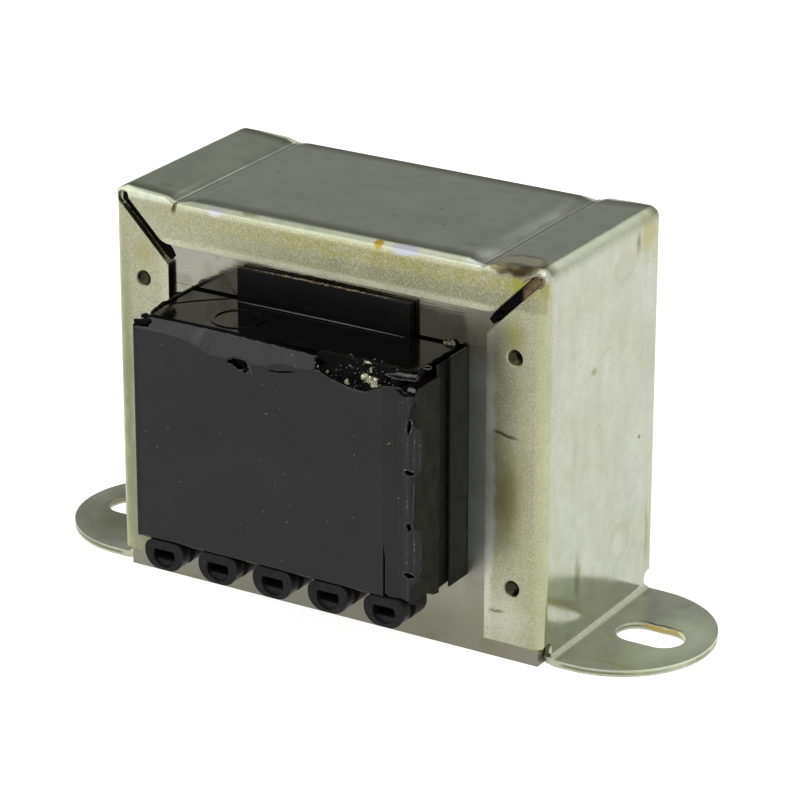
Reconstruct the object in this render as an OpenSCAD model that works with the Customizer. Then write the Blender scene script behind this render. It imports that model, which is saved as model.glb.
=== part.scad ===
// Laminated chassis transformer: an interleaved E-I core held in a folded steel clamp frame with two
// slotted feet, and a moulded bobbin whose winding stands out of the core at the front and the rear.
// X runs along the core's width, Y through the stack with the front at -Y, Z up from the feet's underside.

/* [Core] */
// Width of an E lamination over its outer legs
lam_w = 60; // [57:0.5:72]
// Width of the centre leg
centre_leg_w = 20; // [16:0.5:21.5]
// Width of each outer leg
outer_leg_w = 10; // [8:0.25:11]
// Height of a yoke, on the E and on the I alike
yoke_h = 10; // [9:0.5:14]
// Height of the two windows
window_h = 30; // [26:1:40]
// Thickness of one lamination
lam_t = 0.5; // [0.35:0.05:0.65]
// Number of laminations in the stack, an odd number
lam_n = 55; // [41:2:71]
// Air gap at the joint between an E and its I
joint_gap = 0.05; // [0:0.01:0.1]
// Height of the core's lower edge above the feet's underside
core_lift = 0.1; // [0:0.05:0.4]

/* [Clamp frame] */
// Thickness of the frame's sheet
sheet_t = 0.9; // [0.7:0.05:1.2]
// Gap between the core and each side wall
wall_gap = 0.1; // [0.05:0.05:0.3]
// Outer radius of the folds round the core
fold_r = 1.5; // [1:0.1:1.8]
// Gap between the core and the web's middle panel, which bows up a little
web_gap = 0.2; // [0:0.05:0.3]
// Width of the side flanges, from the wall's outer face
side_flange_w = 8.1; // [6:0.1:10]
// Depth of the top flanges, from the web's upper face
top_flange_h = 5.9; // [4:0.1:6.4]
// Height of the side flanges' lower ends above the feet's underside
flange_z0 = 2.7; // [2.2:0.1:6]
// Width of the mitre slots between side and top flanges
mitre_w = 1.4; // [0.6:0.1:1.6]
// Radius of the relief at a mitre slot's outer end
relief_r = 0.9; // [0.6:0.05:1]
// Distance of the relief's centre from the wall's and the web's outer faces
relief_inset = 1.4; // [0.8:0.05:1.6]
// Radius of the top flanges' lower corners
flange_end_r = 2.4; // [1:0.1:3]
// Rise of the web's two ends above its middle panel
web_rise = 0.45; // [0.3:0.05:1]
// Distance of each crease from the middle
crease_x = 22; // [18:0.5:24]
// Width of the flat at a crease's bottom
crease_w = 0.7; // [0.3:0.1:1.2]
// Depth of a crease below the middle panel
crease_depth = 0.5; // [0.2:0.05:0.6]
// Width of the slope on the middle panel's side of a crease
inner_slope_w = 2.2; // [1:0.1:4]
// Width of the slope on the wall's side of a crease
outer_slope_w = 1.2; // [0.6:0.1:2]
// Diameter of a punched dimple at the flange's face
dimple_d = 2.4; // [1.6:0.1:3]
// Diameter of a dimple's floor
dimple_floor_d = 1; // [0.4:0.1:1.4]
// Depth of a dimple
dimple_depth = 0.6; // [0.2:0.05:0.65]
// Distance of the dimples from the wall's outer face
dimple_inset = 4.3; // [3.5:0.1:4.8]

/* [Feet] */
// Distance between the centres of the two mounting slots
slot_pitch = 76.6; // [76:0.2:96]
// Length of a mounting slot
slot_l = 9.1; // [6:0.1:10]
// Width of a mounting slot
slot_w = 5.7; // [3.2:0.1:6]
// Distance from a slot's centre to the foot's end
slot_to_end = 7.9; // [7:0.1:12]
// Radius of a foot's round end, which is half its width
foot_r = 12.5; // [11:0.1:12.8]
// Inner radius of the fold above a foot
foot_fold_r = 0.8; // [0.4:0.1:1.2]
// Radius of the relief notches beside a foot's fold
notch_r = 1.1; // [0.6:0.1:1.3]
// Depth of a relief notch into the foot's neck
notch_depth = 0.5; // [0.2:0.1:1]

/* [Bobbin] */
// Distance that the bobbin and winding sit left of the core's middle
coil_offset = 0.3; // [0:0.05:0.3]
// Clearance between a flange's side and the outer leg
flange_fit = 1; // [0.7:0.05:1.5]
// Clearance between the bobbin and the yokes
window_fit = 0.25; // [0.1:0.05:0.6]
// Clearance between the tube and the centre leg, along X
tube_fit_x = 0.6; // [0.35:0.05:1]
// Clearance between the tube and the stack's faces, along Y
tube_fit_y = 0.25; // [0.1:0.05:0.6]
// Wall thickness of the tube
tube_wall = 0.8; // [0.5:0.1:1.2]
// Thickness of the bobbin's flanges
flange_t = 1.2; // [0.8:0.1:1.6]
// Distance from the finished winding's front back to the flanges' edge
flange_inset = 1.6; // [1.2:0.1:2.4]
// Corner radius of the flanges
flange_corner_r = 0.8; // [0.4:0.1:2]
// Width of the upright tab in front of the upper yoke
tab_w = 24.8; // [16:0.2:36]
// Height of the tab above the flange
tab_h = 4.4; // [2:0.1:4.8]
// Thickness of the tab
tab_t = 1; // [0.6:0.1:1.6]
// Gap between the tab and the stack's face
tab_gap = 0.2; // [0.1:0.05:0.5]
// Diameter of the moulded ring on the upper flange
ring_d = 6.8; // [4:0.2:7]
// Width of the ring's ridge
ring_w = 0.5; // [0.3:0.1:1]
// Height of the ring's ridge
ring_h = 0.15; // [0.05:0.05:0.3]
// Distance of the ring's centre from the bobbin's middle plane
ring_x = 8.7; // [5:0.1:12]
// Distance of the ring's centre behind the flange's front edge
ring_inset = 4.1; // [4:0.1:5]

/* [Windings] */
// Gap between the windings and the bobbin's flanges
end_gap = 0.8; // [0.4:0.1:2]
// Distance that the flanges stand out past the winding, inside the windows
flange_margin = 0.4; // [0.2:0.1:1]
// How much thicker the winding is outside the windows than in them
bow = 1.5; // [1.2:0.02:1.56]
// Part of the winding space that the secondary fills
secondary_share = 0.58; // [0.4:0.02:0.62]
// Thickness of the tape between the windings
inner_tape_t = 0.3; // [0.1:0.05:0.6]
// Thickness of the tape round the outside
outer_tape_t = 0.3; // [0.1:0.05:0.6]
// Corner radius of the finished winding
coil_corner_r = 3; // [1.5:0.1:4]
// Thickness of the liners between the winding and the outer legs
liner_t = 0.25; // [0.1:0.05:0.25]
// Gap round a liner
liner_fit = 0.05; // [0.02:0.01:0.08]
// Reach of the liners beyond the stack's faces
liner_reach = 4.25; // [1:0.25:5]

/* [Covers] */
// Thickness of the cover sheets
cover_t = 0.5; // [0.3:0.05:0.8]
// Gap between the finished winding and a cover
cover_fit = 0.3; // [0.1:0.05:0.6]
// Gap between the flanges' sides and a cover's side flaps
cover_side_fit = 0.65; // [0.3:0.05:0.8]
// Gap between a cover and the flanges that it wraps
wrap_gap = 0.05; // [0.02:0.01:0.1]
// Corner radius of the covers
cover_corner_r = 1; // [0.7:0.1:2]
// Distance that a cover's side flaps reach back from its front
flap_l = 6.1; // [4:0.1:7]
// Height of a cover's lower edge above the bobbin's underside
cover_raise = 0.65; // [0.5:0.05:1]
// Length of a cover's upper edge that lies on the flange
top_lap = 0.4; // [0.2:0.1:1.5]
// Distance from the bobbin's middle plane to the torn end of the front cover's upper fold
torn_x = 5.7; // [0:0.1:12]
// Diameter of the holes along the front cover's corner seam
seam_hole_d = 1.2; // [0.6:0.1:1.6]
// Number of holes along the seam
seam_hole_n = 4; // [2:1:5]
// Distance between the holes
seam_pitch = 6.4; // [4:0.1:6.6]
// Height of the lowest hole above the cover's lower edge
seam_first_z = 3.5; // [2:0.1:5]

/* [Terminals] */
// Number of terminal sockets in a row, five as standard
socket_n = 5; // [5:1:5]
// Distance between neighbouring sockets
socket_pitch = 8; // [7:0.1:8]
// Width of a socket
socket_w = 5.7; // [5:0.1:6.4]
// Corner radius of a socket's lower side
socket_r = 2.25; // [1.6:0.05:2.4]
// Corner radius of a socket's upper side
socket_top_r = 1.3; // [0.6:0.1:1.5]
// Depth of the sockets below the bobbin's underside
socket_drop = 3.3; // [3:0.1:4.5]
// Gap between the sockets and the cover above them
socket_gap = 0.1; // [0.05:0.05:0.3]
// Length of a socket's outer barrel
barrel_out_l = 1.6; // [1:0.1:2]
// Length of the waist between a socket's barrels
waist_l = 1.3; // [0.8:0.1:1.6]
// Length of a socket's inner barrel
barrel_in_l = 2.5; // [1.8:0.1:4]
// Wall below and beside the hole at the waist
waist_wall = 0.35; // [0.25:0.05:0.5]
// Width of a socket's hole
hole_w = 3.2; // [2.8:0.1:3.4]
// Height of the hole's flat roof above its centre
hole_roof = 0.75; // [0.7:0.05:1]
// Depth of a blind front hole
hole_depth = 4.6; // [3:0.1:4.8]
// Length of the tongue on the hole's floor
tongue_l = 2.6; // [1:0.1:3]
// Height of the tongue
tongue_h = 0.95; // [0.5:0.05:1]
// Width of a solder tag
tag_w = 2.6; // [2:0.1:2.6]
// Thickness of a solder tag
tag_t = 0.6; // [0.4:0.05:0.7]
// Reach of a tag beyond its socket
tag_reach = 4.6; // [3:0.1:8]
// Diameter of the wire hole in a tag
tag_hole_d = 1.2; // [0.8:0.1:1.4]
// Distance from the rear stack face to a tag's inner end
tag_inset = 1.4; // [0.5:0.1:1.8]
// Diameter of the primary's lead
primary_wire_d = 0.3; // [0.1:0.05:0.5]
// Diameter of the secondary's lead
secondary_wire_d = 0.7; // [0.3:0.05:0.8]
// Clearance round a lead where it passes the bobbin
lead_fit = 0.15; // [0.1:0.05:0.3]
// Radius of a solder joint on its tag
solder_r = 0.6; // [0.45:0.05:0.8]
// Height of a solder joint
solder_h = 0.5; // [0.3:0.05:0.6]

/* [Hidden] */
$fn = 48;
// Overcut of a hole or notch past the face that it opens in
cut = 1;

// Core
stack_y = lam_n * lam_t / 2;
window_x = lam_w / 2 - outer_leg_w;
window_z0 = core_lift + yoke_h;
window_z1 = window_z0 + window_h;
core_top = window_z1 + joint_gap + yoke_h;

// Clamp frame
wall_in = lam_w / 2 + wall_gap;
wall_x = wall_in + sheet_t;
face_y = stack_y + sheet_t;
web_z = core_top + web_gap + sheet_t;
end_z = web_z + web_rise;
fold_end_x = wall_x + foot_fold_r;
foot_cx = slot_pitch / 2 + slot_to_end - foot_r;
notch_y = foot_r + notch_r - notch_depth;
notch_z = sheet_t + notch_r;

// Bobbin: the flanges' half sizes and the tube's
bob_z0 = window_z0 + window_fit;
bob_z1 = window_z1 - window_fit;
flange_x = window_x - flange_fit;
bore_x = centre_leg_w / 2 + tube_fit_x;
bore_y = stack_y + tube_fit_y;
tab_y = stack_y + tab_gap;

// Windings: each layer ends at a half width, a half depth and a corner radius
coil_z0 = bob_z0 + flange_t + end_gap;
coil_z1 = bob_z1 - flange_t - end_gap;
tube_size = [bore_x + tube_wall, bore_y + tube_wall, tube_wall];
coil_x = flange_x - flange_margin;
coil_y = tube_size[1] + (coil_x - tube_size[0]) * bow;
secondary_build = secondary_share * (coil_x - tube_size[0] - outer_tape_t - inner_tape_t);
coil_size = [coil_x, coil_y, coil_corner_r];
secondary_size = grown(coil_size, -outer_tape_t, -outer_tape_t);
inner_tape_size = grown(secondary_size, -secondary_build, -secondary_build * bow);
primary_size = grown(inner_tape_size, -inner_tape_t, -inner_tape_t);

// The flanges' depth and the ring's place, which follow the winding
flange_y = coil_y - flange_inset;
ring_y = flange_y - ring_inset;

// Covers
cover_in_y = coil_y + cover_fit;
cover_y = cover_in_y + cover_t;
cover_in_x = flange_x + cover_side_fit;
cover_x = cover_in_x + cover_t;
cover_z0 = bob_z0 + cover_raise;
cover_z1 = coil_z1 + cover_fit;

// Terminals
socket_z0 = bob_z0 - socket_drop;
socket_z1 = cover_z0 - socket_gap;
hole_z = socket_z0 + waist_wall + hole_w / 2;
waist_y1 = cover_y - barrel_out_l;
waist_y0 = waist_y1 - waist_l;
socket_y0 = waist_y0 - barrel_in_l;
primary_lead_y = stack_y + tag_inset + solder_r;
secondary_lead_y = socket_y0 - 2 * lead_fit - secondary_wire_d / 2;
tag_z = hole_z - hole_w / 2 + tongue_h;
lead_z0 = tag_z + tag_t + solder_h;

// Half sizes [x, y] and corner radius r of a layer, changed by dx and dy
function grown(size, dx, dy) = [size[0] + dx, size[1] + dy, max(size[2] + dx, tube_wall)];

// Centre of socket i in its row
function socket_x(i) = (i - (socket_n - 1) / 2) * socket_pitch - coil_offset;

// Points of an arc about [x, y]
function arc(x, y, r, from, to) =
  [for (s = [0:8]) let (a = from + (to - from) * s / 8) [x + r * cos(a), y + r * sin(a)]];

// An outline in X and Z, made solid from y0 to y1
module upright(y0, y1) {
  translate([0, y1, 0])
    rotate([90, 0, 0])
      linear_extrude(y1 - y0)
        children();
}

// An outline in Y and Z, made solid from x0 to x1
module sideways(x0, x1) {
  translate([x0, 0, 0])
    rotate([90, 0, 90])
      linear_extrude(x1 - x0)
        children();
}

module both_sides() {
  children();
  mirror([1, 0, 0]) children();
}

module front_and_rear() {
  children();
  mirror([0, 1, 0]) children();
}

// Rectangle of half sizes size[0] and size[1] with corners of radius size[2]
module round_rect(size) {
  r = size[2];
  square([2 * size[0], 2 * (size[1] - r)], center = true);
  square([2 * (size[0] - r), 2 * size[1]], center = true);
  for (x = [-1, 1], y = [-1, 1])
    translate([x * (size[0] - r), y * (size[1] - r)]) circle(r);
}

// ---- Clamp frame: one sheet folded over the core, with a flange on each edge and a foot at each end

// Outline of the web and walls as seen from the front: outer line
module frame_outline() {
  right = concat(
    [[wall_x, flange_z0]],
    arc(wall_x - fold_r, end_z - fold_r, fold_r, 0, 90),
    [
      [crease_x + crease_w / 2 + outer_slope_w, web_z],
      [crease_x + crease_w / 2, web_z - crease_depth],
      [crease_x - crease_w / 2, web_z - crease_depth],
      [crease_x - crease_w / 2 - inner_slope_w, web_z]
    ]
  );
  left = [for (i = [len(right) - 1:-1:0]) [-right[i][0], right[i][1]]];
  polygon(concat(right, left));
}

// Inner line: it lies close over the core between the creases and rises to the walls outside them
module cavity_outline() {
  right = [
    [wall_in, flange_z0 - cut],
    [wall_in, end_z - sheet_t],
    [crease_x + crease_w / 2 + outer_slope_w, web_z - sheet_t]
  ];
  left = [for (i = [len(right) - 1:-1:0]) [-right[i][0], right[i][1]]];
  polygon(concat(right, left));
}

// Outline from the side, with the folds that turn the web into the top flanges
module fold_outline(top) {
  translate([-face_y, flange_z0])
    square([2 * face_y, top - flange_z0 - fold_r]);
  translate([-face_y + fold_r, flange_z0])
    square([2 * (face_y - fold_r), top - flange_z0]);
  for (y = [-1, 1])
    translate([y * (face_y - fold_r), top - fold_r]) circle(fold_r);
}

module frame_envelope() {
  intersection() {
    upright(-face_y, face_y) frame_outline();
    translate([0, 0, flange_z0])
      linear_extrude(end_z - flange_z0)
        round_rect([wall_x, face_y, fold_r]);
    union() {
      sideways(-crease_x, crease_x) fold_outline(web_z);
      both_sides() sideways(crease_x, wall_x) fold_outline(end_z);
    }
  }
}

// What is cut away to round a top flange's lower corner, where its edge turns up along the mitre slot
module flange_end() {
  corner_z = web_z - top_flange_h;
  corner_x = corner_z - end_z + wall_x - mitre_w / sqrt(2);
  start_x = corner_x - flange_end_r * tan(22.5);
  inner_x = min(wall_x - side_flange_w, start_x) - cut / 10;
  polygon(concat(
    [[inner_x, inner_x + end_z - wall_x], [inner_x, corner_z]],
    arc(start_x, corner_z + flange_end_r, flange_end_r, 270, 315)
  ));
}

// What is cut out of the sheet in front of the stack: the opening between the flanges and the mitre slots
module flange_opening() {
  opening_x = wall_x - side_flange_w;
  upright(-face_y - cut, -stack_y) {
    translate([-opening_x, flange_z0 - cut])
      square([2 * opening_x, web_z - top_flange_h - flange_z0 + cut]);
  }
  both_sides() {
    upright(-face_y - cut, -stack_y) flange_end();
    slot_run = (side_flange_w - relief_inset) * sqrt(2);
    upright(-face_y - cut, -stack_y) {
      translate([wall_x - relief_inset, end_z - relief_inset]) {
        rotate(225) translate([0, -mitre_w / 2]) square([slot_run + mitre_w, mitre_w]);
        circle(relief_r);
      }
    }
  }
}

module dimples() {
  for (x = [-1, 1], z = [window_z0, window_z1])
    translate([x * (wall_x - dimple_inset), -face_y + dimple_depth, z])
      rotate([90, 0, 0])
        cylinder(h = dimple_depth, d1 = dimple_floor_d, d2 = dimple_d);
}

// Section through a foot and its fold, from the wall down and outward
module foot_section() {
  polygon(concat(
    [[wall_in, flange_z0 + cut]],
    arc(fold_end_x, foot_fold_r + sheet_t, foot_fold_r + sheet_t, 180, 270),
    [[foot_cx, 0], [foot_cx, sheet_t]],
    arc(fold_end_x, foot_fold_r + sheet_t, foot_fold_r, 270, 180),
    [[wall_x, flange_z0 + cut]]
  ));
}

module foot() {
  difference() {
    union() {
      upright(-foot_r, foot_r) foot_section();
      linear_extrude(sheet_t)
        translate([foot_cx, 0]) circle(foot_r, $fn = 96);
    }
    // the round end starts outside the fold
    translate([foot_cx - 2 * foot_r, -foot_r - cut, -cut])
      cube([wall_in - foot_cx + 2 * foot_r, 2 * (foot_r + cut), flange_z0 + cut]);
    linear_extrude(flange_z0)
      translate([slot_pitch / 2, 0]) mounting_slot();
  }
}

module mounting_slot() {
  straight = (slot_l - slot_w) / 2;
  square([2 * straight, slot_w], center = true);
  for (x = [-straight, straight])
    translate([x, 0]) circle(d = slot_w);
}

module clamp_frame() {
  color("#B3B49B")
    difference() {
      union() {
        difference() {
          frame_envelope();
          upright(-stack_y, stack_y) cavity_outline();
          front_and_rear() flange_opening();
          front_and_rear() dimples();
        }
        both_sides() foot();
      }
      for (x = [-1, 1], y = [-1, 1])
        translate([x * wall_in, y * notch_y, notch_z])
          rotate([0, 90, 0])
            cylinder(h = 2 * fold_r + 2 * foot_fold_r, r = notch_r, center = true);
    }
}

// ---- Core: sheets stamped from one strip, laid in turn with the joint at the top and at the bottom

module e_outline() {
  translate([-lam_w / 2, 0]) square([lam_w, yoke_h]);
  translate([-centre_leg_w / 2, 0]) square([centre_leg_w, yoke_h + window_h]);
  for (x = [-lam_w / 2, lam_w / 2 - outer_leg_w])
    translate([x, 0]) square([outer_leg_w, yoke_h + window_h]);
}

module i_outline() {
  translate([-lam_w / 2, 0]) square([lam_w, yoke_h]);
}

// Every second sheet of the stack, from number first
module sheets(first) {
  for (i = [first:2:lam_n - 1])
    upright(-stack_y + i * lam_t, -stack_y + (i + 1) * lam_t)
      children();
}

module core_e_legs_up() {
  color("#A3A294")
    sheets(0) translate([0, core_lift]) e_outline();
}

module core_i_top() {
  color("#A3A294")
    sheets(0) translate([0, core_top - yoke_h]) i_outline();
}

module core_e_legs_down() {
  color("#98978A")
    sheets(1) translate([0, core_top]) mirror([0, 1]) e_outline();
}

module core_i_bottom() {
  color("#98978A")
    sheets(1) translate([0, core_lift]) i_outline();
}

// ---- Bobbin: one moulding of a tube, two flanges, a tab front and rear, and two rows of sockets

module in_coil_frame() {
  translate([-coil_offset, 0, 0]) children();
}

module flange(z) {
  translate([0, 0, z])
    linear_extrude(flange_t)
      difference() {
        round_rect([flange_x, flange_y, flange_corner_r]);
        square([2 * bore_x, 2 * bore_y], center = true);
      }
}

module tube() {
  translate([0, 0, bob_z0])
    linear_extrude(bob_z1 - bob_z0)
      difference() {
        round_rect(tube_size);
        square([2 * bore_x, 2 * bore_y], center = true);
      }
}

module tab() {
  // it is centred on the core, so the coil's offset is taken out
  translate([-tab_w / 2 + coil_offset, -tab_y - tab_t, bob_z1 - flange_t])
    cube([tab_w, tab_t, tab_h + flange_t]);
}

module moulded_ring() {
  translate([-ring_x, -ring_y, bob_z1 - flange_t])
    difference() {
      cylinder(h = flange_t + ring_h, d = ring_d);
      translate([0, 0, -cut]) cylinder(h = flange_t + ring_h + 2 * cut, d = ring_d - 2 * ring_w);
    }
}

// One half of a barrel's outline: the rounded end at z, with the sides running up from it or down by rise
module barrel_end(z, r, rise) {
  dx = socket_w / 2 - r;
  centre_z = z + sign(rise) * r;
  for (x = [-dx, dx])
    translate([x, centre_z]) circle(r);
  translate([-dx, min(z, z + rise)]) square([2 * dx, abs(rise)]);
  translate([-socket_w / 2, min(centre_z, centre_z + rise)]) square([socket_w, abs(rise)]);
}

// Outline of a socket's barrels: an upright oval, flatter above, where it meets the cover
module barrel_outline() {
  rise = 2 * (socket_z1 - socket_z0);
  intersection() {
    barrel_end(socket_z0, socket_r, rise);
    barrel_end(socket_z1, socket_top_r, -rise);
  }
}

module waist_outline() {
  r = hole_w / 2 + waist_wall;
  translate([0, hole_z]) circle(r);
  translate([-r, hole_z]) square([2 * r, socket_z1 - hole_z]);
}

// Hole for a terminal: round below, with a flat roof
module hole_outline() {
  intersection() {
    translate([0, hole_z]) circle(d = hole_w);
    translate([-hole_w, hole_z - hole_w]) square([2 * hole_w, hole_w + hole_roof]);
  }
}

module tongue_outline() {
  intersection() {
    translate([0, hole_z]) circle(d = hole_w + waist_wall);
    translate([-hole_w, hole_z - hole_w]) square([2 * hole_w, hole_w / 2 + tongue_h]);
  }
}

// One socket at the front; hole_end is where its hole stops
module socket(hole_end) {
  difference() {
    union() {
      upright(-cover_y, -waist_y1) barrel_outline();
      upright(-waist_y1, -waist_y0) waist_outline();
      upright(-waist_y0, -socket_y0) barrel_outline();
    }
    upright(-cover_y - cut, -hole_end) hole_outline();
  }
  // the tongue starts a wall's thickness inside the mouth
  upright(-cover_y + waist_wall, -cover_y + waist_wall + tongue_l) tongue_outline();
}

module lead_hole(i, y, wire_d) {
  translate([socket_x(i) + coil_offset, y, bob_z0 - cut])
    cylinder(h = flange_t + 2 * cut, d = wire_d + 2 * lead_fit);
}

module bobbin() {
  color("#1C1C1A")
    in_coil_frame()
      difference() {
        union() {
          tube();
          flange(bob_z0);
          flange(bob_z1 - flange_t);
          front_and_rear() tab();
          moulded_ring();
          for (i = [0:socket_n - 1])
            translate([socket_x(i) + coil_offset, 0, 0]) {
              socket(cover_y - hole_depth);
              mirror([0, 1, 0]) socket(socket_y0 - cut);
            }
        }
        for (i = [0, socket_n - 1])
          lead_hole(i, secondary_lead_y, secondary_wire_d);
        for (i = [1, socket_n - 2])
          lead_hole(i, primary_lead_y, primary_wire_d);
      }
}

// ---- Windings and tapes: each layer is a closed loop whose inside is the outside of the one before

module layer(inner, outer) {
  in_coil_frame()
    translate([0, 0, coil_z0])
      linear_extrude(coil_z1 - coil_z0)
        difference() {
          round_rect(outer);
          round_rect(inner);
        }
}

module primary_winding() {
  color("#8A4A22") layer(tube_size, primary_size);
}

module interwinding_tape() {
  color("#C9B870") layer(primary_size, inner_tape_size);
}

module secondary_winding() {
  color("#A65A28") layer(inner_tape_size, secondary_size);
}

module outer_tape() {
  color("#2A2A24") layer(secondary_size, coil_size);
}

// Strip of insulating sheet between the winding and an outer leg
module liner() {
  translate([window_x - liner_fit - liner_t, -stack_y - liner_reach, window_z0 + liner_fit])
    cube([liner_t, 2 * (stack_y + liner_reach), window_h - 2 * liner_fit]);
}

module window_liner_left() {
  color("#2E2E26") mirror([1, 0, 0]) liner();
}

module window_liner_right() {
  color("#2E2E26") liner();
}

// ---- Covers: stiff sheet bent round the winding's front, with its upper edge folded onto the flange

module cover_wall() {
  translate([0, 0, cover_z0])
    linear_extrude(cover_z1 - cover_z0)
      difference() {
        round_rect([cover_x, cover_y, cover_corner_r]);
        round_rect([cover_in_x, cover_in_y, cover_corner_r - cover_t]);
        translate([-cover_x - cut, -cover_y + flap_l]) square([2 * (cover_x + cut), 2 * cover_y]);
      }
}

// Section of the upper fold, drawn with the front at -Y
module top_fold_outline() {
  lap_y = flange_y - top_lap;
  lap_z = bob_z1 + wrap_gap;
  polygon([
    [-cover_y, cover_z1],
    [-flange_y - 2 * wrap_gap - cover_t / 2, lap_z + cover_t],
    [-lap_y, lap_z + cover_t],
    [-lap_y, lap_z],
    [-flange_y - 2 * wrap_gap, lap_z],
    [-cover_in_y, cover_z1]
  ]);
}

module cover(fold_x0, fold_x1) {
  cover_wall();
  sideways(fold_x0, fold_x1) top_fold_outline();
}

module seam_holes() {
  for (i = [0:seam_hole_n - 1])
    translate([cover_x - cover_corner_r, -cover_y - cut, cover_z0 + seam_first_z + i * seam_pitch])
      rotate([-90, 0, 0])
        cylinder(h = cover_t + 2 * cut, d = seam_hole_d);
}

module front_cover() {
  color("#202022")
    in_coil_frame()
      difference() {
        cover(-cover_x + cover_corner_r, torn_x);
        seam_holes();
      }
}

module rear_cover() {
  color("#202022")
    in_coil_frame()
      mirror([0, 1, 0]) cover(-cover_x + cover_corner_r, cover_x - cover_corner_r);
}

// ---- Terminals at the rear: a flat tag in each used socket, with a lead soldered to it

module tag(i) {
  tag_end = cover_y + tag_reach - tag_w / 2;
  color("#C7C2B4")
    translate([socket_x(i), 0, tag_z])
      linear_extrude(tag_t)
        difference() {
          union() {
            translate([-tag_w / 2, stack_y + tag_inset]) square([tag_w, tag_end - stack_y - tag_inset]);
            translate([0, tag_end]) circle(d = tag_w);
          }
          translate([0, tag_end]) circle(d = tag_hole_d);
        }
}

module secondary_tag_1() {
  tag(0);
}

module primary_tag_1() {
  tag(1);
}

module primary_tag_2() {
  tag(socket_n - 2);
}

module secondary_tag_2() {
  tag(socket_n - 1);
}

// Lead from a winding's lower face down to the solder on its tag
module lead(i, y, wire_d) {
  color("#B5652E")
    translate([socket_x(i), y, lead_z0])
      cylinder(h = coil_z0 - lead_z0, d = wire_d);
}

module secondary_lead_1() {
  lead(0, secondary_lead_y, secondary_wire_d);
}

module primary_lead_1() {
  lead(1, primary_lead_y, primary_wire_d);
}

module primary_lead_2() {
  lead(socket_n - 2, primary_lead_y, primary_wire_d);
}

module secondary_lead_2() {
  lead(socket_n - 1, secondary_lead_y, secondary_wire_d);
}

module solder_joint(i, y, wire_d) {
  translate([socket_x(i), y, tag_z + tag_t])
    cylinder(h = solder_h, r1 = solder_r, r2 = wire_d / 2 + solder_r / 4);
}

module solder_joints() {
  color("#BDBDBD") {
    for (i = [0, socket_n - 1])
      solder_joint(i, secondary_lead_y, secondary_wire_d);
    for (i = [1, socket_n - 2])
      solder_joint(i, primary_lead_y, primary_wire_d);
  }
}

clamp_frame();
core_e_legs_up();
core_i_top();
core_e_legs_down();
core_i_bottom();
bobbin();
primary_winding();
interwinding_tape();
secondary_winding();
outer_tape();
front_cover();
rear_cover();
window_liner_left();
window_liner_right();
secondary_tag_1();
primary_tag_1();
primary_tag_2();
secondary_tag_2();
secondary_lead_1();
primary_lead_1();
primary_lead_2();
secondary_lead_2();
solder_joints();
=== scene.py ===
"""A laminated chassis transformer: steel core, moulded bobbin, black covers and a folded steel frame."""
import math

import bmesh
import bpy
from mathutils import Matrix, Vector, noise


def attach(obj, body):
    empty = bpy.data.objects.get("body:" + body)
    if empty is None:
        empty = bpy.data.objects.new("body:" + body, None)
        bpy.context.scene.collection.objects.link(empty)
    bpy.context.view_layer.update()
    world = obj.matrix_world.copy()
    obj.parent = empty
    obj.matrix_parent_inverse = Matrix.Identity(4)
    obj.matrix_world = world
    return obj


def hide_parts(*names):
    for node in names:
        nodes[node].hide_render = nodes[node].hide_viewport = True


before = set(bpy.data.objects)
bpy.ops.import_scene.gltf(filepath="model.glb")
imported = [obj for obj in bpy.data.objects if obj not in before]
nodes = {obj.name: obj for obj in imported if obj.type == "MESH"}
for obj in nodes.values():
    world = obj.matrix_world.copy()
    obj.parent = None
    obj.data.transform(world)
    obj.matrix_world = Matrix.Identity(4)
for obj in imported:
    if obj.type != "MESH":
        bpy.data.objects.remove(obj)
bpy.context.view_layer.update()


# Core
# The core is four stacks of punched E and I sheets of silicon steel, laid in from both sides in turn.
# The sheets are bare but for an oxide and varnish film, and the winding's dip has left them smeared.
mm = 0.001


def colour(code):
    """An sRGB hex colour as the linear one that a shader takes."""
    parts = [int(code[i:i + 2], 16) / 255 for i in (1, 3, 5)]
    return [c / 12.92 if c <= 0.04045 else ((c + 0.055) / 1.055) ** 2.4 for c in parts] + [1.0]


def feed(tree, node, feeds):
    """Gives a node's sockets a value, or the output of another node."""
    live = [socket for socket in node.inputs if socket.enabled]
    for name, value in feeds.items():
        socket = live[name] if isinstance(name, int) else next(s for s in live if s.name == name)
        if isinstance(value, bpy.types.Node):
            value = next(s for s in value.outputs if s.enabled)
        if isinstance(value, bpy.types.NodeSocket):
            tree.links.new(value, socket)
        else:
            socket.default_value = value


def add(tree, kind, feeds=None, **settings):
    """One node with its settings and with what feeds it."""
    node = tree.nodes.new(kind)
    for name, value in settings.items():
        setattr(node, name, value)
    feed(tree, node, feeds or {})
    return node


def finish(name, sockets):
    """A named material: the material, its tree, its surface and where each point lies on the object."""
    made = bpy.data.materials.new(name)
    made.use_nodes = True
    tree = made.node_tree
    surface = tree.nodes["Principled BSDF"]
    feed(tree, surface, sockets)
    place = add(tree, "ShaderNodeTexCoord").outputs["Object"]
    return made, tree, surface, place


def paint(surface, shown, rough, relief, depth):
    """Gives a surface its colour, its roughness and its relief, which is that many millimetres deep."""
    tree = surface.id_data
    feed(tree, surface, {
        "Base Color": shown, "Roughness": rough,
        "Normal": add(tree, "ShaderNodeBump", {"Height": relief, "Distance": depth * mm})})


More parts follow.
